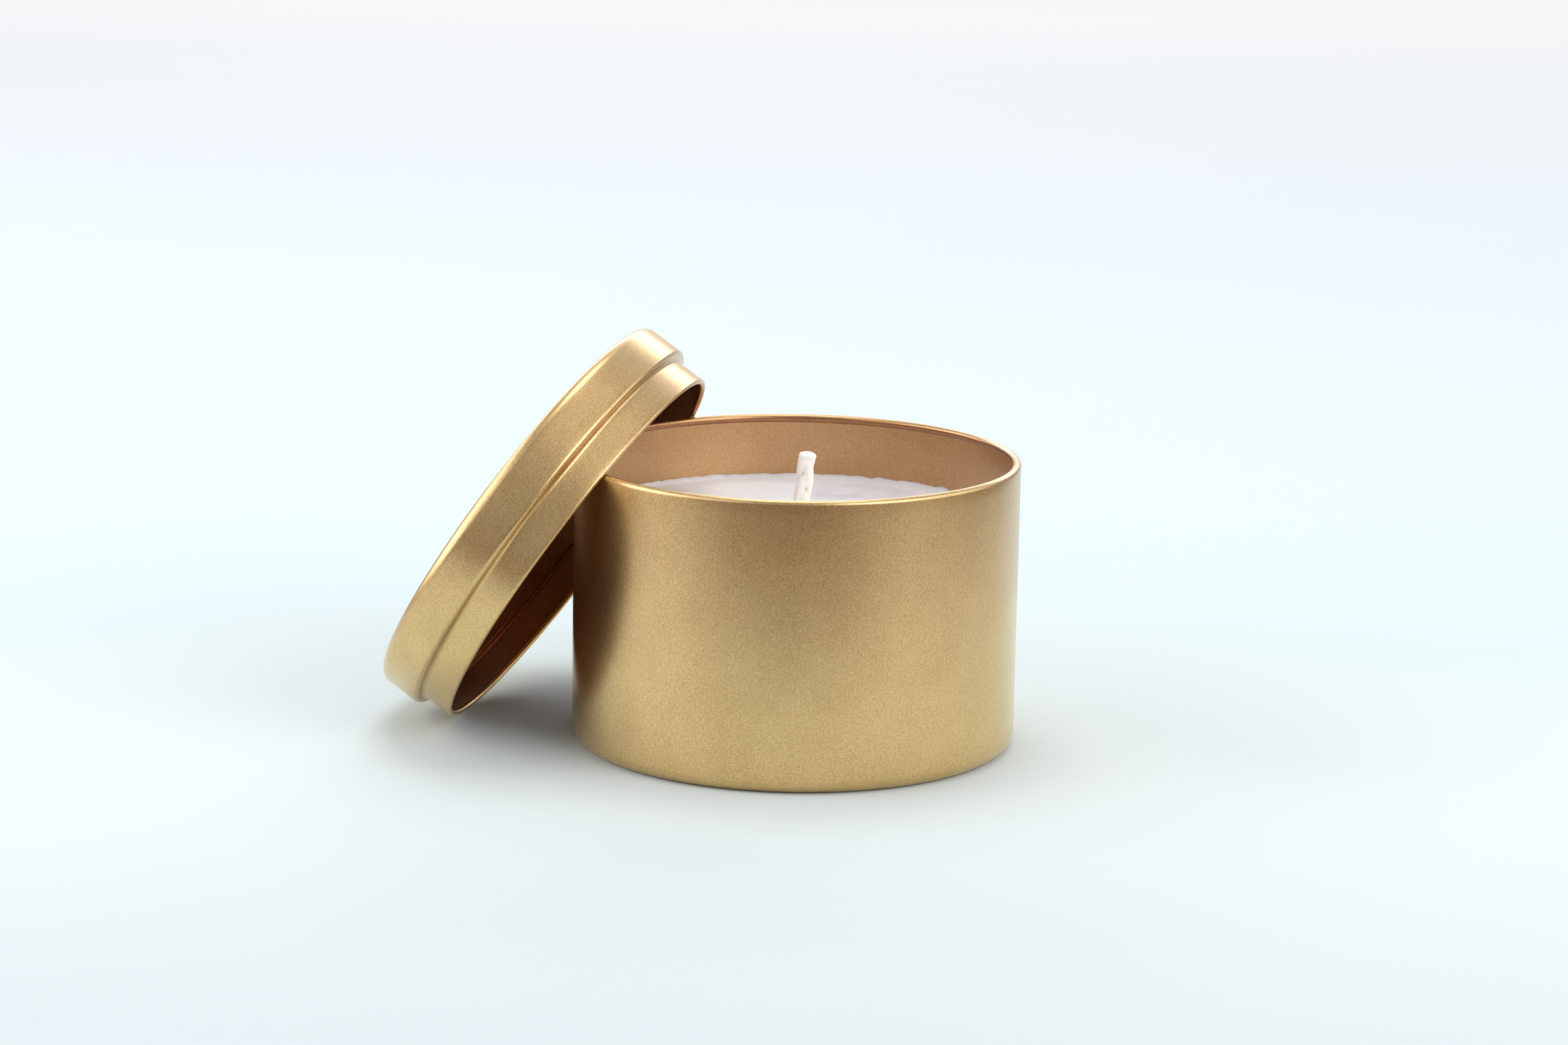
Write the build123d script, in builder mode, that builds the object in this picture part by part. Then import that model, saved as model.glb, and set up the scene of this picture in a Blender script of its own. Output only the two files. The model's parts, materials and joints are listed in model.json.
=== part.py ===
"""A round candle tin with its plug lid off and leaning on the mouth's rim.

Lengths are in millimetres. The origin is the centre of the ring that the tin
stands on, +Z is up along the tin's axis, and the lid leans on the -X side, with
its own axis in the XZ plane. The tin, the lid and the sustainer are thin sheet:
the first two are drawn as the middle line of their sheet and traced to its gauge.
"""

from build123d import *
import math
import os

# --- driving dimensions ---

# tinplate of the can and the lid
sheet = 0.25

# can
tin_radius = 38.5
tin_height = 50.0
foot_corner = 2.5  # outer radius between the wall and the standing ring
panel_radius = 31.0  # the base panel inside the standing ring
panel_rise = 0.7  # how far that panel stands off the table
panel_ramp = 1.2  # width of the slope between the ring and the panel
panel_bend = 0.5  # radius of both bends of that slope
mouth_curl = 0.75  # outer radius of the inward curl at the mouth
mouth_land = 0.6  # upright stretch on the inside of that curl, where a plug bears

# lid
plug_play = 0.2  # radial play of the lid's skirt in the curl
skirt_height = 5.9
crown_height = 8.35
crown_corner = 1.9
shoulder_bend = 0.85  # outer radius of both bends of the shoulder
hem_curl = 0.5  # outer radius of the inward hem at the skirt's edge

# how the lid leans
lean_angle = 56.5  # degrees between the lid's axis and the vertical
lean_gap = 0.05  # left between the hem and the mouth's curl

# candle
wax_level = 38.3
meniscus_rise = 0.6
meniscus_width = 1.8
wick_dip_depth = 0.4  # dip around the wick, where the wax set last
wick_dip_radius = 7.0

# wick, a braid of oval section that stands straight and then leans a little
wick_width = 3.1
wick_thickness = 2.5
wick_height = 50.6  # where it is cut
wick_heading = 14.25  # degrees from +X towards +Y, the way its tip leans
wick_lean = 5.0  # degrees
wick_bend_height = 30.0
wick_bend_radius = 30.0

# sustainer and its sticker
sustainer_radius = 10.0
sustainer_sheet = 0.3
sustainer_bend = 0.6  # between its disc and its neck
neck_height = 6.0
sticker_radius = 9.5
sticker_thickness = 1.0

# --- sizes worked out from them ---

half_sheet = sheet / 2
wall_line = tin_radius - half_sheet
panel_line = panel_rise + half_sheet
panel_top = panel_rise + sheet
inner_radius = tin_radius - sheet
mouth_radius = tin_radius - 2 * mouth_curl
curl_centre = tin_radius - mouth_curl
land_top = tin_height - mouth_curl
land_foot = land_top - mouth_land
skirt_radius = mouth_radius - plug_play
lid_height = skirt_height + crown_height
wax_edge = wax_level + meniscus_rise
sticker_top = panel_top + sticker_thickness

# middle line of the can's sheet, from the centre of its base to its wall
foot_line = [
    (0, panel_line),
    (panel_radius, panel_line),
    (panel_radius + panel_ramp, half_sheet),
    (wall_line, half_sheet),
]
foot_bends = [panel_bend, panel_bend, foot_corner - half_sheet]

# --- how the lid leans ---

tilt = math.radians(lean_angle)
hem_ring = skirt_radius - hem_curl
# the hem's lowest point rests on the table
hem_rise = hem_ring * math.sin(tilt) + hem_curl


def hem_to_curl(distance):
    """Least distance between the hem's and the curl's surfaces, in the lid's lean."""
    nearest = math.inf
    for step in range(1801):
        turn = math.radians(step / 10)
        along = hem_ring * math.cos(turn)
        x = along * math.cos(tilt) - distance
        y = hem_ring * math.sin(turn)
        z = along * math.sin(tilt) + hem_rise
        across = math.hypot(x, y) - curl_centre
        nearest = min(nearest, math.hypot(across, z - land_top))
    return nearest - hem_curl - mouth_curl


def leaning_distance():
    """How far from the tin's axis the hem's centre is when the hem meets the curl."""
    clear = tin_radius + skirt_radius
    while hem_to_curl(clear - 0.5) > lean_gap:
        clear -= 0.5
    touching = clear - 0.5
    while clear - touching > 1e-6:
        middle = (clear + touching) / 2
        if hem_to_curl(middle) > lean_gap:
            clear = middle
        else:
            touching = middle
    return clear


lid_axis = Vector(-math.sin(tilt), 0, math.cos(tilt))
hem_centre = Vector(-leaning_distance(), 0, hem_rise)
lid_origin = hem_centre - lid_axis * hem_curl
lid_up_slope = (math.cos(tilt), 0, math.sin(tilt))
lid_plane = Plane(origin=lid_origin, x_dir=lid_up_slope, z_dir=(0, -1, 0))

# --- can ---

with BuildPart() as tin_body:
    with BuildSketch(Plane.XZ):
        with BuildLine():
            FilletPolyline(*foot_line, (wall_line, land_top), radius=foot_bends)
            curl_line = mouth_curl - half_sheet
            crest = CenterArc((curl_centre, land_top), curl_line, 0, 180)
            Line(crest @ 1, (curl_centre - curl_line, land_foot))
            CenterArc((curl_centre, land_foot), curl_line, 180, 90)
        trace(line_width=sheet)
    revolve(axis=Axis.Z)

# --- lid, one stamping, drawn from its crown down to its hem ---

with BuildPart() as lid:
    with BuildSketch(lid_plane):
        with BuildLine():
            FilletPolyline(
                (0, lid_height - half_sheet),
                (wall_line, lid_height - half_sheet),
                (wall_line, skirt_height + half_sheet),
                (skirt_radius - half_sheet, skirt_height + half_sheet),
                (skirt_radius - half_sheet, hem_curl),
                radius=[
                    crown_corner - half_sheet,
                    shoulder_bend - half_sheet,
                    shoulder_bend,
                ],
            )
            CenterArc((hem_ring, hem_curl), hem_curl - half_sheet, 0, -270)
        trace(line_width=sheet)
    revolve(axis=Axis(lid_origin, lid_axis))

# --- sticker, under the sustainer ---

with BuildPart() as wick_sticker:
    with BuildSketch(Plane.XY.offset(panel_top)):
        Circle(sticker_radius)
    extrude(amount=sticker_thickness)

# --- wick, from the sticker up through the sustainer's neck and the wax ---

heading = math.radians(wick_heading)
lean = math.radians(wick_lean)
wick_side = Vector(math.cos(heading), math.sin(heading), 0)
wick_foot = Vector(0, 0, sticker_top)
bend_end = wick_bend_height + wick_bend_radius * math.sin(lean)
leaning_length = (wick_height - bend_end) / math.cos(lean)

with BuildPart() as wick:
    with BuildLine(Plane(wick_foot, x_dir=wick_side, z_dir=wick_side.cross(Vector(0, 0, 1)))):
        stem = Line((0, 0), (0, wick_bend_height - sticker_top))
        bend = JernArc(stem @ 1, stem % 1, radius=wick_bend_radius, arc_size=-wick_lean)
        Line(bend @ 1, bend @ 1 + (bend % 1) * leaning_length)
    with BuildSketch(Plane(wick_foot, x_dir=wick_side, z_dir=(0, 0, 1))):
        Ellipse(wick_width / 2, wick_thickness / 2)
    sweep()

# --- sustainer: a disc with a neck crimped round the wick ---

sustainer_plane = Plane(wick_foot, x_dir=wick_side, z_dir=(0, 0, 1))

with BuildPart() as wick_tab:
    with BuildSketch(sustainer_plane):
        Circle(sustainer_radius)
    extrude(amount=sustainer_sheet)
    with BuildSketch(sustainer_plane):
        Ellipse(wick_width / 2 + sustainer_sheet, wick_thickness / 2 + sustainer_sheet)
    extrude(amount=sustainer_sheet + neck_height)
    disc_top = wick_tab.faces().filter_by(Axis.Z).sort_by(Axis.Z)[1]
    fillet(disc_top.inner_wires().edges(), sustainer_bend)
    add(wick.part, mode=Mode.SUBTRACT)

# --- wax, poured round them: it fills the can from its base to the wax level ---

with BuildPart() as wax:
    with BuildSketch(Plane.XZ):
        with BuildLine():
            underside = FilletPolyline(*foot_line, (wall_line, wax_edge), radius=foot_bends)
            rim = Line(underside @ 1, (inner_radius, wax_edge))
            meniscus_foot = (inner_radius - meniscus_width, wax_level)
            TangentArc(meniscus_foot, rim @ 1, tangent=(1, 0))
            dip_edge = (wick_dip_radius, wax_level)
            Line(meniscus_foot, dip_edge)
            dip = (0, wax_level - wick_dip_depth)
            Spline(dip_edge, dip, tangents=[(-1, 0), (-1, 0)])
            Line(dip, underside @ 0)
        make_face()
    revolve(axis=Axis.Z)
    add(tin_body.part, mode=Mode.SUBTRACT)
    add(wick_sticker.part, mode=Mode.SUBTRACT)
    add(wick_tab.part, mode=Mode.SUBTRACT)
    add(wick.part, mode=Mode.SUBTRACT)

# --- one file for each piece ---

tin_body.part.label = "tin_body"
lid.part.label = "lid"
wax.part.label = "wax"
wick.part.label = "wick"
wick_tab.part.label = "wick_tab"
wick_sticker.part.label = "wick_sticker"

os.makedirs("parts", exist_ok=True)
export_step(tin_body.part, "parts/tin_body.step")
export_step(lid.part, "parts/lid.step")
export_step(wax.part, "parts/wax.step")
export_step(wick.part, "parts/wick.step")
export_step(wick_tab.part, "parts/wick_tab.step")
export_step(wick_sticker.part, "parts/wick_sticker.step")
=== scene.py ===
import json
import math

import bpy
from mathutils import Matrix, Vector, noise


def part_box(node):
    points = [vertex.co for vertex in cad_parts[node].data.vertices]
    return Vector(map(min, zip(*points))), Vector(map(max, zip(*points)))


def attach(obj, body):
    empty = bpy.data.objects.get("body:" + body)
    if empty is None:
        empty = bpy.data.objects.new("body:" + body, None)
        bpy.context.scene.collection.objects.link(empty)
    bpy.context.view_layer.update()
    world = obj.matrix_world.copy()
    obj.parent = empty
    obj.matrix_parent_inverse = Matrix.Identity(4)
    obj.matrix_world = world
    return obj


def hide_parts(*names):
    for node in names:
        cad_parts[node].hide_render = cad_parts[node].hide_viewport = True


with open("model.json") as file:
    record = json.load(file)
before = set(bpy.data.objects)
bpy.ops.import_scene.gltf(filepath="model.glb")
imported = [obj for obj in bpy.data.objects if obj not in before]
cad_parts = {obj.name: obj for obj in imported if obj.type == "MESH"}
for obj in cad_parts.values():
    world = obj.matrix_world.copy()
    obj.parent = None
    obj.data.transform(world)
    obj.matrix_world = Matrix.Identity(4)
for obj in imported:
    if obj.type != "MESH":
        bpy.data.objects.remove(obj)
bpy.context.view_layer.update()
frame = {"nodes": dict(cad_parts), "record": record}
mm = 0.001
print("frame loaded")


def fromHex(colour):  # an sRGB hex colour as Blender's linear one
    channels = [int(colour[i:i + 2], 16) / 255 for i in (1, 3, 5)]
    return [c / 12.92 if c <= 0.04045 else ((c + 0.055) / 1.055) ** 2.4 for c in channels] + [1.0]


def setStops(ramp, stops):  # stops are a colour ramp's (place, colour)
    elements = ramp.color_ramp.elements
    elements.remove(elements[1])
    elements[0].position, elements[0].color = stops[0]
    for place, colour in stops[1:]:
        elements.new(place).color = colour


def addNode(tree, kind, settings=None, links=None):
    # settings are the node's own or its inputs' values; links feed its inputs from other nodes' outputs
    node = tree.nodes.new(kind)
    for key, value in (settings or {}).items():
        if key == "stops":
            setStops(node, value)
        elif isinstance(key, str) and hasattr(node, key):
            setattr(node, key, value)
        else:
            node.inputs[key].default_value = value
    for key, (source, output) in (links or {}).items():
        tree.links.new(source.outputs[output], node.inputs[key])
    return node


def newMaterial(name):  # a material with its Principled node and Object coordinates
    material = bpy.data.materials.new(name)
    material.use_nodes = True
    tree = material.node_tree
    tree.nodes.clear()
    shader = addNode(tree, "ShaderNodeBsdfPrincipled")
    addNode(tree, "ShaderNodeOutputMaterial", {}, {"Surface": (shader, "BSDF")})
    place = addNode(tree, "ShaderNodeTexCoord")
    return material, tree, shader, place


def deselectAll():
    if bpy.context.object and bpy.context.object.mode != "OBJECT":
        bpy.ops.object.mode_set(mode="OBJECT")
    bpy.ops.object.select_all(action="DESELECT")


def giveMaterial(piece, material):
    piece.data.materials.clear()
    piece.data.materials.append(material)


def startOutline(name, x, z):  # one vertex in the XZ plane, to draw a section from
    deselectAll()
    bpy.ops.mesh.primitive_plane_add(size=mm)
    piece = bpy.context.object
    piece.name = piece.data.name = name
    bpy.ops.object.mode_set(mode="EDIT")
    bpy.ops.mesh.merge(type="CENTER")
    bpy.ops.transform.translate(value=(x, 0, z))
    return piece


def drawStraight(dx, dz, steps=1):
    for _ in range(steps):
        bpy.ops.mesh.extrude_region_move(
            TRANSFORM_OT_translate={"value": (dx / steps, 0, dz / steps)})


# turns the end of the outline round (x, z), from +Z towards +X if the turn is positive
def drawBend(x, z, turn, steps):
    bpy.ops.mesh.spin(steps=steps, angle=-math.radians(turn), center=(x, 0, z), axis=(0, 1, 0))


def spinOutline(piece, steps):  # the drawn section turned once round the Z axis
    bpy.ops.mesh.select_all(action="SELECT")
    bpy.ops.mesh.spin(steps=steps, angle=math.tau, center=(0, 0, 0), axis=(0, 0, 1))
    bpy.ops.mesh.select_all(action="SELECT")
    bpy.ops.mesh.remove_doubles(threshold=1e-6)
    bpy.ops.mesh.normals_make_consistent(inside=False)
    bpy.ops.object.mode_set(mode="OBJECT")


def addModifier(piece, kind, **settings):  # adds a modifier and applies it
    deselectAll()
    piece.select_set(True)
    bpy.context.view_layer.objects.active = piece
    modifier = piece.modifiers.new(kind.title(), kind)
    for key, value in settings.items():
        setattr(modifier, key, value)
    bpy.ops.object.modifier_apply(modifier=modifier.name)


def shadeSmooth(piece, angle):
    deselectAll()
    piece.select_set(True)
    bpy.context.view_layer.objects.active = piece
    bpy.ops.object.shade_smooth_by_angle(angle=math.radians(angle))


# mm from the tin's axis and above the table, degrees, and the lens and its sensor in mm
camera = dict(distance=725.8, height=196.2, azimuth=14.25, pan=0.17, pitch=-12.29, roll=1.04,
              lens=98.62, sensor=36.0, nearest=20, farthest=60000)


def makeCamera():
    data = bpy.data.cameras.new("camera")
    data.lens = camera["lens"]
    data.sensor_width = camera["sensor"]
    data.clip_start = camera["nearest"] * mm
    data.clip_end = camera["farthest"] * mm
    view = bpy.data.objects.new("camera", data)
    bpy.context.scene.collection.objects.link(view)
    around = math.radians(camera["azimuth"])
    place = Vector((math.sin(around) * camera["distance"], -math.cos(around) * camera["distance"],
                    camera["height"])) * mm
    turn = Matrix.Rotation(math.radians(camera["azimuth"] + camera["pan"]), 4, "Z")
    turn = turn @ Matrix.Rotation(math.radians(90 + camera["pitch"]), 4, "X")
    turn = turn @ Matrix.Rotation(math.radians(camera["roll"]), 4, "Z")
    view.matrix_world = Matrix.Translation(place) @ turn
    bpy.context.scene.camera = view


# each softbox's place round the tin (0 is beside the camera, 90 its right), its height and distance in mm
softboxes = dict(
    left=dict(around=-95, height=420, distance=900, width=900, tall=800, watts=5.6, colour="#F8FAFF"),
    leftFront=dict(around=-50, height=550, distance=900, width=600, tall=700, watts=1.3, colour="#FFFFFF"),
    right=dict(around=85, height=450, distance=900, width=900, tall=800, watts=2.9, colour="#FBFEFF"),
    rightFront=dict(around=45, height=550, distance=900, width=600, tall=700, watts=4.4, colour="#FFFFFF"),
    back=dict(around=175, height=900, distance=900, width=1600, tall=900, watts=1.4, colour="#EAF5FF"),
    top=dict(around=10, height=1300, distance=60, width=1400, tall=1400, watts=1.0, colour="#FFFFFF"),
    overTin=dict(around=180, height=900, distance=150, width=500, tall=500, watts=2.6, colour="#FFFFFF"),
    leftLow=dict(around=-70, height=150, distance=900, width=500, tall=300, watts=0.7, colour="#FFFFFF"),
    far=dict(around=180, height=1700, distance=4300, width=7000, tall=2600, watts=160, colour="#FFFFFF",
             aim=3900),
)
aimHeight = 25  # mm above the table


def makeSoftboxes():
    for name, box in softboxes.items():
        data = bpy.data.lights.new(name, "AREA")
        data.shape = "RECTANGLE"
        data.size = box["width"] * mm
        data.size_y = box["tall"] * mm
        data.energy = box["watts"]
        data.color = fromHex(box["colour"])[:3]
        light = bpy.data.objects.new(name, data)
        bpy.context.scene.collection.objects.link(light)
        around = math.radians(camera["azimuth"] + box["around"])
        light.location = Vector((math.sin(around) * box["distance"], -math.cos(around) * box["distance"],
                                 box["height"])) * mm
        # most face the tin; aim is how far behind it, from the camera, the others do
        behind = math.radians(camera["azimuth"] + 180)
        beyond = box.get("aim", 0)
        aim = Vector((math.sin(behind) * beyond, -math.cos(behind) * beyond, aimHeight)) * mm
        light.rotation_euler = (aim - light.location).to_track_quat("-Z", "Y").to_euler()


room = dict(colour="#FBFDFF", strength=0.42)


def makeRoom():  # an even pale room
    world = bpy.data.worlds.new("room")
    bpy.context.scene.world = world
    world.use_nodes = True
    world.node_tree.nodes.clear()
    back = addNode(world.node_tree, "ShaderNodeBackground",
                   {"Color": fromHex(room["colour"]), "Strength": room["strength"]})
    addNode(world.node_tree, "ShaderNodeOutputWorld", {}, {"Surface": (back, "Background")})


# the table's colour is painted darker towards the camera and brighter far behind the tin, with the distance
# behind it in mm, as painted light falling off over the table
table = dict(size=12000, sides=96, cloud=0.015, cloudSize=60,
             tones=[(-160, "#C6CED0"), (-20, "#D2DADB"), (80, "#CDD7D8"), (260, "#D2DBDE"),
                    (560, "#DEE4E8"), (1300, "#FFFFFF")])


def makeTable():
    deselectAll()
    bpy.ops.mesh.primitive_circle_add(vertices=table["sides"], radius=table["size"] / 2 * mm,
                                      fill_type="NGON",
                                      rotation=(0, 0, math.radians(camera["azimuth"])))
    top = bpy.context.object
    top.name = "table"
    material, tree, shader, place = newMaterial("matt laminate")
    # dead matt white laminate: a very faint cloudiness, no sheen and no visible grain
    first = table["tones"][0][0]
    last = table["tones"][-1][0]
    split = addNode(tree, "ShaderNodeSeparateXYZ", {}, {"Vector": (place, "Object")})
    depth = addNode(tree, "ShaderNodeMapRange", {"From Min": first * mm, "From Max": last * mm},
                    {"Value": (split, "Y")})
    cloud = addNode(tree, "ShaderNodeTexNoise", {"Scale": 1 / (table["cloudSize"] * mm), "Detail": 2.0},
                    {"Vector": (place, "Object")})
    shift = addNode(tree, "ShaderNodeMath", {"operation": "MULTIPLY_ADD", 1: table["cloud"]},
                    {0: (cloud, "Fac"), 2: (depth, "Result")})
    # the tones paint light falling off over the table: darker near the tin, brighter far behind it
    stops = [((far - first) / (last - first), fromHex(tone)) for far, tone in table["tones"]]
    tint = addNode(tree, "ShaderNodeValToRGB", {"stops": stops}, {"Fac": (shift, "Value")})
    tree.links.new(tint.outputs["Color"], shader.inputs["Base Color"])
    shader.inputs["Roughness"].default_value = 1.0
    shader.inputs["Specular IOR Level"].default_value = 0.0
    giveMaterial(top, material)


# cards lying round the tin that only reflections see, as painted reflections: a pale one at its foot, a
# painted reflection of the bright table, and dark ones further out, painted reflections of the dark room;
# near is how far from the tin's axis each begins, in mm
reflectionCards = dict(
    foot=dict(around=0, near=-105, deep=210, wide=210, lift=0.3, colour="#D9E6E1"),
    front=dict(around=0, near=168, deep=1500, wide=3200, lift=0.5, colour="#5E3B29"),
    left=dict(around=-90, near=240, deep=1200, wide=1300, lift=0.6, colour="#5E3B29"),
    right=dict(around=90, near=235, deep=1200, wide=1300, lift=0.7, colour="#5E3B29"),
)


def makeReflectionCards():
    for name, card in reflectionCards.items():
        deselectAll()
        around = math.radians(camera["azimuth"] + card["around"])
        middle = (card["near"] + card["deep"] / 2) * mm
        bpy.ops.mesh.primitive_plane_add(
            size=mm, location=(math.sin(around) * middle, -math.cos(around) * middle, card["lift"] * mm),
            rotation=(0, 0, around))
        sheet = bpy.context.object
        sheet.name = "reflectionCard." + name
        sheet.scale = (card["wide"], card["deep"], 1)
        material, _, shader, _ = newMaterial("painted reflection card " + name)
        shader.inputs["Base Color"].default_value = fromHex(card["colour"])
        shader.inputs["Roughness"].default_value = 1.0
        shader.inputs["Specular IOR Level"].default_value = 0.0
        giveMaterial(sheet, material)
        # only glossy rays see these sheets, so they show only as painted reflections
        sheet.visible_camera = False
        sheet.visible_shadow = False
        sheet.visible_diffuse = False


makeCamera()
makeSoftboxes()
makeRoom()
makeTable()
makeReflectionCards()
bpy.context.scene.view_settings.view_transform = "Standard"
print("camera, lights and table done")

# the gold lacquer of the can and the lid; flow, grain and grainDepth are in mm, and an edge sharper than
# smoothUpTo, in degrees, stays crisp
lacquer = dict(roughness=0.34, roughnessSpread=0.03, coat=0.6, coatRoughness=0.21, flow=7.0, grain=0.24,
               speckle=0.85, grainDepth=0.006, deepAt=0.41, paleAt=0.59, smoothUpTo=40)


def makeLacquer(name, deep, pale):
    # satin gold lacquer rolled on tinplate before drawing: tin shines through a tinted coat, so it is metal
    # with a soft sheen, a fine grain and no scratches
    material, tree, shader, place = newMaterial(name)
    flow = addNode(tree, "ShaderNodeTexNoise", {"Scale": 1 / (lacquer["flow"] * mm), "Detail": 3.0},
                   {"Vector": (place, "Object")})
    # the real grain is about 0.05 mm; drawn coarser, so that it shows
    grain = addNode(tree, "ShaderNodeTexNoise",
                    {"Scale": 1 / (lacquer["grain"] * mm), "Detail": 3.0, "Roughness": 0.6},
                    {"Vector": (place, "Object")})
    both = addNode(tree, "ShaderNodeMix", {"data_type": "FLOAT", "Factor": lacquer["speckle"]},
                   {2: (flow, "Fac"), 3: (grain, "Fac")})
    stops = [(lacquer["deepAt"], fromHex(deep)), (lacquer["paleAt"], fromHex(pale))]
    tint = addNode(tree, "ShaderNodeValToRGB", {"stops": stops}, {"Fac": (both, "Result")})
    tree.links.new(tint.outputs["Color"], shader.inputs["Base Color"])
    sheen = addNode(tree, "ShaderNodeMapRange",
                    {"From Min": 0.3, "From Max": 0.7,
                     "To Min": lacquer["roughness"] - lacquer["roughnessSpread"],
                     "To Max": lacquer["roughness"] + lacquer["roughnessSpread"]},
                    {"Value": (grain, "Fac")})
    tree.links.new(sheen.outputs["Result"], shader.inputs["Roughness"])
    bump = addNode(tree, "ShaderNodeBump", {"Strength": 1.0, "Distance": lacquer["grainDepth"] * mm},
                   {"Height": (grain, "Fac")})
    tree.links.new(bump.outputs["Normal"], shader.inputs["Normal"])
    shader.inputs["Metallic"].default_value = 1.0
    shader.inputs["Coat Weight"].default_value = lacquer["coat"]
    shader.inputs["Coat Roughness"].default_value = lacquer["coatRoughness"]
    return material


goldLacquer = makeLacquer("satin gold lacquer on tinplate", "#C4A16B", "#DEBA83")
# the sheets' other sides are drawn darker and browner, as painted shade: the lid's inside darkest, and this
# darkest lacquer is also the painted shadow under the can's curl
canInsideShade = makeLacquer("gold lacquer inside the can, darkened as painted shade", "#B68E60", "#CCA272")
deepShadeLacquer = makeLacquer("gold lacquer darkened as deep painted shade", "#94643E", "#B07C50")


def lacquerSheet(piece, sheet, inside):  # gives the drawn sheet its thickness, and each side its lacquer
    giveMaterial(piece, goldLacquer)
    piece.data.materials.append(inside)
    addModifier(piece, "SOLIDIFY", thickness=sheet * mm, offset=0, use_even_offset=True,
                material_offset=1)
    shadeSmooth(piece, lacquer["smoothUpTo"])


# the can, in mm and degrees
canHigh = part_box("tin_body")[1]
can = dict(radius=canHigh.x / mm, height=canHigh.z / mm, sheet=0.25, footCorner=2.5, panelRadius=31.0,
           panelRise=0.7, panelRamp=1.2, curl=0.75, curlTurn=285, shadeFrom=0.1, shadowBelow=0.3,
           turns=256)


# the section of the can's base from its centre up to its wall, or that of a form drop mm further in
def drawFoot(drop=0.0):
    half = can["sheet"] / 2
    wall = can["radius"] - half - drop
    corner = can["footCorner"] - half - drop
    drawStraight((can["panelRadius"] - drop / 2) * mm, 0, 12)
    drawStraight(can["panelRamp"] * mm, -can["panelRise"] * mm, 4)
    drawStraight((wall - corner - can["panelRadius"] - can["panelRamp"] + drop / 2) * mm, 0, 3)
    drawBend((wall - corner) * mm, (half + drop + corner) * mm, -90, 12)
    return half + drop + corner


def makeCan():
    half = can["sheet"] / 2
    curl = can["curl"] - half
    curlX = can["radius"] - can["curl"]
    curlZ = can["height"] - can["curl"]
    piece = startOutline("canBody", 0, (can["panelRise"] + half) * mm)
    wallFoot = drawFoot()
    drawStraight(0, (curlZ - wallFoot) * mm, 24)
    drawBend(curlX * mm, curlZ * mm, -can["curlTurn"], 24)
    spinOutline(piece, can["turns"])
    # the can's inside takes the darker lacquer, as painted shade
    lacquerSheet(piece, can["sheet"], canInsideShade)
    # the curl's inner half takes the darker inside lacquer as painted shade, and lower down the darkest
    # one, as the painted shadow under the curl
    piece.data.materials.append(deepShadeLacquer)
    for face in piece.data.polygons:
        across = math.hypot(face.center.x, face.center.y) / mm
        up = face.center.z / mm
        if up > can["height"] - 2 * can["curl"] and across < curlX + can["shadeFrom"]:
            face.material_index = 1 if up > curlZ + can["shadowBelow"] else 2
    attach(piece, "tin")
    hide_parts("tin_body")
    return piece


canBody = makeCan()
print("can done", [round(v / mm, 2) for v in canBody.dimensions])

# the lid, in mm: drawn upright with its hem at the origin, then leant as the crown's mount says
# play is what is left all round between its skirt and the can's curl
crownFace = next(m for m in frame["record"]["mounts"] if m["name"] == "crown")
lid = dict(crown=can["radius"], play=0.2, skirt=5.9, height=14.25, crownCorner=1.9, shoulder=0.85, hem=0.5,
           sheet=0.25, turns=256)


def makeLid():
    half = lid["sheet"] / 2
    wall = lid["crown"] - half
    plug = can["radius"] - 2 * can["curl"] - lid["play"]
    skirtWall = plug - half
    corner = lid["crownCorner"] - half
    outer = lid["shoulder"] - half
    inner = lid["shoulder"]
    ledge = lid["skirt"] + half
    piece = startOutline("plugLid", 0, (lid["height"] - half) * mm)
    drawStraight((wall - corner) * mm, 0, 14)
    drawBend((wall - corner) * mm, (lid["height"] - half - corner) * mm, 90, 12)
    drawStraight(0, (ledge + outer - lid["height"] + half + corner) * mm, 6)
    drawBend((wall - outer) * mm, (ledge + outer) * mm, 90, 10)
    drawStraight((skirtWall + inner - wall + outer) * mm, 0, 1)
    drawBend((skirtWall + inner) * mm, (ledge - inner) * mm, -90, 10)
    drawStraight(0, (lid["hem"] - ledge + inner) * mm, 6)
    drawBend((plug - lid["hem"]) * mm, lid["hem"] * mm, 270, 18)
    spinOutline(piece, lid["turns"])
    # the lid's inside takes the darkest lacquer, as painted shade
    lacquerSheet(piece, lid["sheet"], deepShadeLacquer)
    # the crown's mount gives where its middle is and which way it faces
    facing = Vector(crownFace["axis"])
    foot = Vector(crownFace["pos_m"]) - facing * lid["height"] * mm
    lean = Matrix.Rotation(math.atan2(facing.x, facing.z), 4, "Y")
    piece.matrix_world = Matrix.Translation(foot) @ lean
    deselectAll()
    piece.select_set(True)
    bpy.ops.object.transform_apply(location=True, rotation=True, scale=True)
    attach(piece, "lid")
    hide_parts("lid")
    return piece


plugLid = makeLid()
print("lid done", [round(v / mm, 2) for v in plugLid.dimensions])

# the wick, in mm and degrees; period is the length of one plait, and phase is where it starts
# smoothings is how often the joined strands are smoothed, for the skin of wax on them
wickLow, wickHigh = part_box("wick")
wick = dict(width=3.15, thickness=2.45, strand=1.0, strands=3, steps=120, period=16.0, phase=0.42,
            lean=5.0, heading=14.25, bendFrom=30.0, bendRadius=30.0, foot=wickLow.z / mm,
            top=wickHigh.z / mm, strandsEnd=0.5, tipWidth=3.15, tipExtra=0.15, tipHeight=1.5, tipDrop=0.8,
            voxel=0.11, smoothings=22, smoothUpTo=60, grooveFrom=0.93, grooveDepth=0.25,
            plainFrom=1.2, plainFade=0.8, fibre=0.5, fibreDepth=0.04, roughness=0.5,
            subsurface=0.3, glow=0.6,
            tones=[(0.0, "#FBF5EE"), (0.45, "#F6EEE4"), (1.0, "#96743A")])


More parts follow.
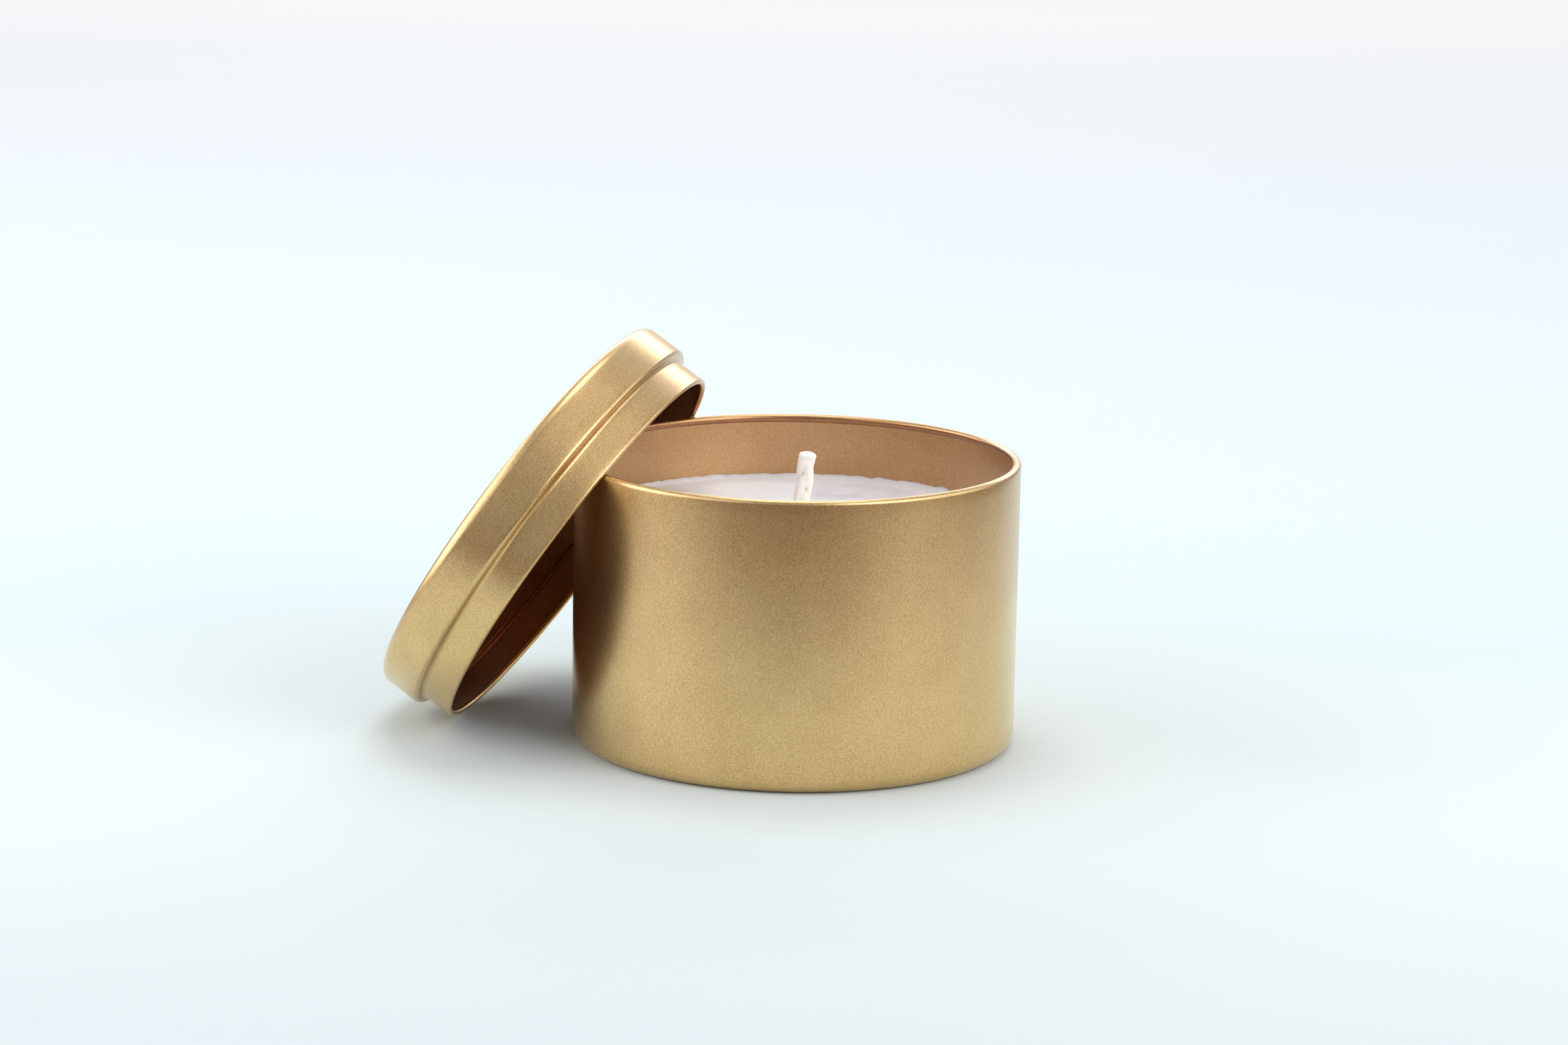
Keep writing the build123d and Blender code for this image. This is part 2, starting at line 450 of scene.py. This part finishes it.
def wickCentre(height):  # the wick's middle line: straight, then leaning after a gentle bend
    lean = math.radians(wick["lean"])
    bendTo = wick["bendFrom"] + wick["bendRadius"] * math.sin(lean)
    if height < wick["bendFrom"]:
        out = 0.0
    elif height < bendTo:
        out = wick["bendRadius"] - math.sqrt(wick["bendRadius"] ** 2 - (height - wick["bendFrom"]) ** 2)
    else:
        out = wick["bendRadius"] * (1 - math.cos(lean)) + (height - bendTo) * math.tan(lean)
    heading = math.radians(wick["heading"])
    return math.cos(heading) * out, math.sin(heading) * out


def strandPoint(height, strand):  # where one of the plaited strands passes
    turn = math.tau * (height / wick["period"] + wick["phase"] + strand / wick["strands"])
    side = (wick["width"] / 2 - wick["strand"]) * math.sin(turn)
    front = (wick["thickness"] / 2 - wick["strand"]) * math.sin(2 * turn)
    heading = math.radians(wick["heading"])
    x, y = wickCentre(height)
    return Vector((x + side * math.cos(heading) - front * math.sin(heading),
                   y + side * math.sin(heading) + front * math.cos(heading), height)) * mm


def makeStrand(strand):
    steps = wick["steps"]
    length = wick["top"] - wick["strandsEnd"] - wick["foot"]
    heights = [wick["foot"] + length * k / steps for k in range(steps + 1)]
    points = [strandPoint(h, strand) for h in heights]
    deselectAll()
    bpy.ops.mesh.primitive_plane_add(size=mm)
    piece = bpy.context.object
    bpy.ops.object.mode_set(mode="EDIT")
    bpy.ops.mesh.merge(type="CENTER")
    bpy.ops.transform.translate(value=points[0])
    for before, after in zip(points, points[1:]):
        bpy.ops.mesh.extrude_region_move(TRANSFORM_OT_translate={"value": after - before})
    bpy.ops.object.mode_set(mode="OBJECT")
    bpy.ops.object.convert(target="CURVE")
    curve = bpy.context.object.data
    curve.bevel_depth = wick["strand"] * mm
    curve.bevel_resolution = 6
    curve.use_fill_caps = True
    bpy.ops.object.convert(target="MESH")
    return bpy.context.object


def makeWickMaterial():
    # bleached cotton yarn plaited and primed in wax: cream and smooth, with painted shade, tan, in the
    # grooves where the strands meet
    material, tree, shader, place = newMaterial("waxed cotton plait")
    depth = addNode(tree, "ShaderNodeAttribute", {"attribute_name": "groove"})
    stops = [(at, fromHex(tone)) for at, tone in wick["tones"]]
    tint = addNode(tree, "ShaderNodeValToRGB", {"stops": stops}, {"Fac": (depth, "Fac")})
    fibre = addNode(tree, "ShaderNodeTexNoise", {"Scale": 1 / (wick["fibre"] * mm), "Detail": 4.0},
                    {"Vector": (place, "Object")})
    bump = addNode(tree, "ShaderNodeBump", {"Strength": 0.5, "Distance": wick["fibreDepth"] * mm},
                   {"Height": (fibre, "Fac")})
    tree.links.new(tint.outputs["Color"], shader.inputs["Base Color"])
    tree.links.new(bump.outputs["Normal"], shader.inputs["Normal"])
    shader.inputs["Roughness"].default_value = wick["roughness"]
    shader.inputs["Subsurface Weight"].default_value = wick["subsurface"]
    shader.inputs["Subsurface Scale"].default_value = wick["glow"] * mm
    return material


def makeWick():
    strands = [makeStrand(k) for k in range(wick["strands"])]
    # the cut end, wetted with wax into a blunt white cap
    x, y = wickCentre(wick["top"])
    deselectAll()
    bpy.ops.mesh.primitive_uv_sphere_add(segments=48, ring_count=24, radius=0.5 * mm,
                                         location=(x * mm, y * mm, (wick["top"] - wick["tipDrop"]) * mm),
                                         rotation=(0, math.radians(wick["lean"]),
                                                   math.radians(wick["heading"])),
                                         scale=(wick["tipWidth"], wick["thickness"] + wick["tipExtra"],
                                                wick["tipHeight"]))
    cap = bpy.context.object
    for piece in strands:
        piece.select_set(True)
    bpy.context.view_layer.objects.active = cap
    bpy.ops.object.join()
    piece = bpy.context.object
    piece.name = piece.data.name = "plaitedWick"
    bpy.ops.object.transform_apply(location=True, rotation=True, scale=True)
    addModifier(piece, "REMESH", mode="VOXEL", voxel_size=wick["voxel"] * mm)
    # how deep each point lies in the grooves between the strands, for the painted groove shade; the cap has
    # none
    groove = piece.data.attributes.new("groove", "FLOAT", "POINT")
    heading = math.radians(wick["heading"])
    for vertex in piece.data.vertices:
        px, py, pz = vertex.co / mm
        x, y = wickCentre(pz)
        side = (px - x) * math.cos(heading) + (py - y) * math.sin(heading)
        front = (py - y) * math.cos(heading) - (px - x) * math.sin(heading)
        out = math.hypot(side / (wick["width"] / 2), front / (wick["thickness"] / 2))
        below = min(1.0, max(0.0, (wick["top"] - pz - wick["plainFrom"]) / wick["plainFade"]))
        depth = min(1.0, max(0.0, (wick["grooveFrom"] - out) / wick["grooveDepth"]))
        groove.data[vertex.index].value = depth * below
    addModifier(piece, "SMOOTH", factor=0.5, iterations=wick["smoothings"])
    shadeSmooth(piece, wick["smoothUpTo"])
    giveMaterial(piece, makeWickMaterial())
    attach(piece, "tin")
    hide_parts("wick")
    return piece


plaitedWick = makeWick()
print("wick done", [round(v / mm, 2) for v in plaitedWick.dimensions])

# the wax, in mm: its form, how it swells and frosts, and the sizes and tones of its pattern
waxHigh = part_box("wax")[1]
wax = dict(edge=waxHigh.z / mm, rise=0.6, riseWidth=1.8, dip=0.4, dipRadius=7.0, dipSteps=18, turns=288,
           wave=0.10, waveSize=11.0, frost=0.22, frostSize=1.2, frostFrom=34.5, frostFade=3.0,
           middleFrost=0.3, climb=0.35, climbFrom=1.5, climbFade=0.6, smoothUpTo=50,
           cloudSize=9.0, cloudShare=0.4, shadePatch=(8.0, 28.0), shadePatchCore=4.0, shadePatchSize=15.0,
           shadePatchShift=(-0.14, 0.06), crystalSize=1.1, crystalDepth=0.05,
           ragged=4.0, bandIn=3.5, bandOut=1.5,
           tones=[(0.06, "#D6D1D5"), (0.2, "#F1EEF2"), (0.3, "#FCF9FC")], edgeTone="#FDF9FE",
           roughness=(0.42, 0.75), ior=1.44, subsurface=0.5, glow=1.5, glowTint=(1.0, 0.85, 0.8))


def makeWaxMaterial():
    # white soy and paraffin blend, poured warm and set slowly: soft and a little translucent, with cloudy
    # patches where it cooled unevenly and a frosted, crystalline band along the can's wall
    material, tree, shader, place = newMaterial("poured candle wax")
    cloud = addNode(tree, "ShaderNodeTexNoise",
                    {"Scale": 1 / (wax["cloudSize"] * mm), "Detail": 3.0, "Distortion": 0.6},
                    {"Vector": (place, "Object")})
    # one greyer patch, painted shade where the can's wall shades the wax
    shadeX, shadeY = wax["shadePatch"]
    away = addNode(tree, "ShaderNodeVectorMath",
                   {"operation": "DISTANCE", 1: (shadeX * mm, shadeY * mm, wax["edge"] * mm)},
                   {0: (place, "Object")})
    shadePatch = addNode(tree, "ShaderNodeMapRange",
                    {"From Min": wax["shadePatchCore"] * mm, "From Max": wax["shadePatchSize"] * mm,
                     "To Min": wax["shadePatchShift"][0], "To Max": wax["shadePatchShift"][1]},
                    {"Value": (away, "Value")})
    depth = addNode(tree, "ShaderNodeMath", {"operation": "MULTIPLY_ADD", 1: wax["cloudShare"]},
                    {0: (cloud, "Fac"), 2: (shadePatch, "Result")})
    stops = [(at, fromHex(tone)) for at, tone in wax["tones"]]
    body = addNode(tree, "ShaderNodeValToRGB", {"stops": stops}, {"Fac": (depth, "Value")})
    crystals = addNode(tree, "ShaderNodeTexNoise",
                       {"Scale": 1 / (wax["crystalSize"] * mm), "Detail": 5.0, "Roughness": 0.65},
                       {"Vector": (place, "Object")})
    # how far from the can's axis each point is, made ragged for the frosted band
    split = addNode(tree, "ShaderNodeSeparateXYZ", {}, {"Vector": (place, "Object")})
    flat = addNode(tree, "ShaderNodeCombineXYZ", {}, {"X": (split, "X"), "Y": (split, "Y")})
    across = addNode(tree, "ShaderNodeVectorMath", {"operation": "LENGTH"}, {0: (flat, "Vector")})
    ragged = addNode(tree, "ShaderNodeMath", {"operation": "MULTIPLY_ADD", 1: wax["ragged"] * mm},
                     {0: (crystals, "Fac"), 2: (across, "Value")})
    band = addNode(tree, "ShaderNodeMapRange",
                   {"From Min": (can["radius"] - wax["bandIn"]) * mm,
                    "From Max": (can["radius"] + wax["bandOut"]) * mm},
                   {"Value": (ragged, "Value")})
    frosted = addNode(tree, "ShaderNodeMix", {"data_type": "RGBA", 7: fromHex(wax["edgeTone"])},
                      {0: (band, "Result"), 6: (body, "Color")})
    tree.links.new(frosted.outputs[2], shader.inputs["Base Color"])
    gloss = addNode(tree, "ShaderNodeMapRange",
                    {"To Min": wax["roughness"][0], "To Max": wax["roughness"][1]},
                    {"Value": (band, "Result")})
    tree.links.new(gloss.outputs["Result"], shader.inputs["Roughness"])
    bump = addNode(tree, "ShaderNodeBump", {"Strength": 0.6, "Distance": wax["crystalDepth"] * mm},
                   {"Height": (crystals, "Fac")})
    tree.links.new(bump.outputs["Normal"], shader.inputs["Normal"])
    shader.inputs["IOR"].default_value = wax["ior"]
    shader.inputs["Subsurface Weight"].default_value = wax["subsurface"]
    shader.inputs["Subsurface Scale"].default_value = wax["glow"] * mm
    shader.inputs["Subsurface Radius"].default_value = wax["glowTint"]
    return material


def waxSwell(x, y):  # how far the set wax stands off its smooth form, in mm
    across = math.hypot(x, y)
    wave = noise.noise(Vector((x, y, 3.0)) / wax["waveSize"])
    frost = noise.noise(Vector((x, y, 9.0)) / wax["frostSize"])
    atWall = min(1.0, max(0.0, (across - wax["frostFrom"]) / wax["frostFade"]))
    # next to the wick the wax has crept up it
    wickX, wickY = wickCentre(wax["edge"])
    toWick = math.hypot(x - wickX, y - wickY)
    creep = wax["climb"] * math.exp(-max(0.0, toWick - wax["climbFrom"]) / wax["climbFade"])
    frost *= wax["middleFrost"] + atWall
    return wax["wave"] * wave * (1 - atWall) + wax["frost"] * frost + creep


def makeWax():
    drop = can["sheet"] / 2
    level = wax["edge"] - wax["rise"]
    piece = startOutline("pouredWax", 0, (can["panelRise"] + can["sheet"]) * mm)
    wallFoot = drawFoot(drop)
    inner = can["radius"] - can["sheet"]
    drawStraight(0, (wax["edge"] - wallFoot) * mm, 16)
    # the meniscus: an arc that ends level
    span = wax["riseWidth"]
    rise = wax["rise"]
    radius = (span ** 2 + rise ** 2) / (2 * rise)
    turn = math.degrees(math.asin(span / radius))
    drawBend((inner - span) * mm, (level + radius) * mm, turn, 8)
    drawStraight((wax["dipRadius"] + span - inner) * mm, 0, 36)
    steps = wax["dipSteps"]
    for step in range(steps):  # the dip round the wick
        before, after = [wax["dip"] * (1 - math.cos(math.pi * (step + k) / steps)) / 2 for k in (0, 1)]
        drawStraight(-wax["dipRadius"] / steps * mm, (before - after) * mm)
    spinOutline(piece, wax["turns"])
    lowest = level - wax["dip"] - 0.01  # just below the dip, so that all of the top is taken
    for vertex in piece.data.vertices:
        x, y, z = vertex.co / mm
        if z > lowest:
            vertex.co.z += waxSwell(x, y) * mm
    shadeSmooth(piece, wax["smoothUpTo"])
    giveMaterial(piece, makeWaxMaterial())
    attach(piece, "tin")
    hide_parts("wax")
    return piece


pouredWax = makeWax()
print("wax done", [round(v / mm, 2) for v in pouredWax.dimensions])

# the sustainer and the sticker under the wax keep their CAD meshes; sizes are in mm
tab = dict(lineLength=6.0, lineWidth=0.15, lineDepth=0.01, roughness=(0.28, 0.42),
           deep="#A9ADB0", pale="#C9CCCD")
sticker = dict(cell=0.3, cellDepth=0.08, roughness=0.85, deep="#CFCFCA", pale="#E9E8E3")


def makeTabMaterial():
    # zinc-plated strip steel, stamped: cool grey with faint rolling lines along the strip
    material, tree, shader, place = newMaterial("zinc-plated stamped steel")
    long = 1 / (tab["lineLength"] * mm)
    along = addNode(tree, "ShaderNodeMapping", {"Scale": (long, 1 / (tab["lineWidth"] * mm), long)},
                    {"Vector": (place, "Object")})
    lines = addNode(tree, "ShaderNodeTexNoise", {"Scale": 1.0, "Detail": 3.0},
                    {"Vector": (along, "Vector")})
    stops = [(0.3, fromHex(tab["deep"])), (0.7, fromHex(tab["pale"]))]
    tint = addNode(tree, "ShaderNodeValToRGB", {"stops": stops}, {"Fac": (lines, "Fac")})
    sheen = addNode(tree, "ShaderNodeMapRange",
                    {"To Min": tab["roughness"][0], "To Max": tab["roughness"][1]},
                    {"Value": (lines, "Fac")})
    bump = addNode(tree, "ShaderNodeBump", {"Strength": 0.4, "Distance": tab["lineDepth"] * mm},
                   {"Height": (lines, "Fac")})
    tree.links.new(tint.outputs["Color"], shader.inputs["Base Color"])
    tree.links.new(sheen.outputs["Result"], shader.inputs["Roughness"])
    tree.links.new(bump.outputs["Normal"], shader.inputs["Normal"])
    shader.inputs["Metallic"].default_value = 1.0
    return material


def makeStickerMaterial():
    # white closed-cell foam tape: matt, with open cut cells of about 0.3 mm
    material, tree, shader, place = newMaterial("closed-cell foam tape")
    cells = addNode(tree, "ShaderNodeTexVoronoi", {"Scale": 1 / (sticker["cell"] * mm)},
                    {"Vector": (place, "Object")})
    stops = [(0.0, fromHex(sticker["deep"])), (0.5, fromHex(sticker["pale"]))]
    tint = addNode(tree, "ShaderNodeValToRGB", {"stops": stops}, {"Fac": (cells, "Distance")})
    bump = addNode(tree, "ShaderNodeBump", {"Strength": 0.8, "Distance": sticker["cellDepth"] * mm},
                   {"Height": (cells, "Distance")})
    tree.links.new(tint.outputs["Color"], shader.inputs["Base Color"])
    tree.links.new(bump.outputs["Normal"], shader.inputs["Normal"])
    shader.inputs["Roughness"].default_value = sticker["roughness"]
    return material


giveMaterial(frame["nodes"]["wick_tab"], makeTabMaterial())
giveMaterial(frame["nodes"]["wick_sticker"], makeStickerMaterial())
print("sustainer and sticker done")

deselectAll()
